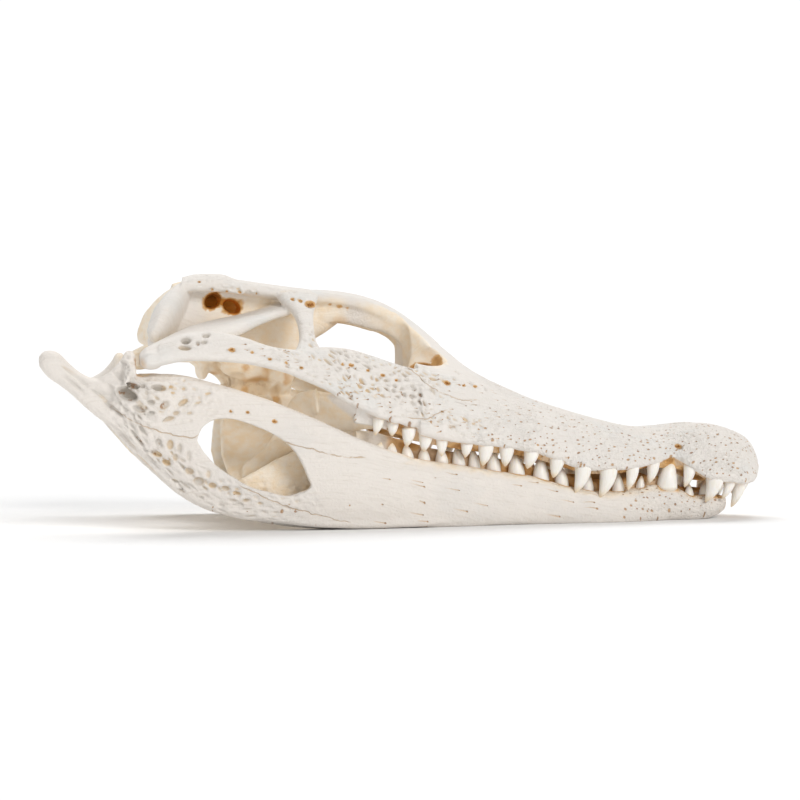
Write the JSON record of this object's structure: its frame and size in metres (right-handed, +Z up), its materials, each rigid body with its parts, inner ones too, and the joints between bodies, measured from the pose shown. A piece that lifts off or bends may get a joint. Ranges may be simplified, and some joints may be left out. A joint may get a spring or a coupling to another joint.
{
  "type": "caiman skull",
  "caption": "Long-snouted crocodilian skull, toothed cranium resting on its toothed lower jaw, with open orbits and jaw windows.",
  "frame": {"origin": "under the middle of the skull's length and width, on the surface that the lower jaw stands on", "axes": "+X toward the snout, +Y toward the animal's left, +Z up"},
  "size_m": [0.2839, 0.1234, 0.0943],
  "materials": {
    "cranium_bone": null,
    "jaw_bone": null
  },
  "bodies": {
    "root": {"cranium": "cranium_bone", "mandible": "jaw_bone"}
  },
  "joints": []
}
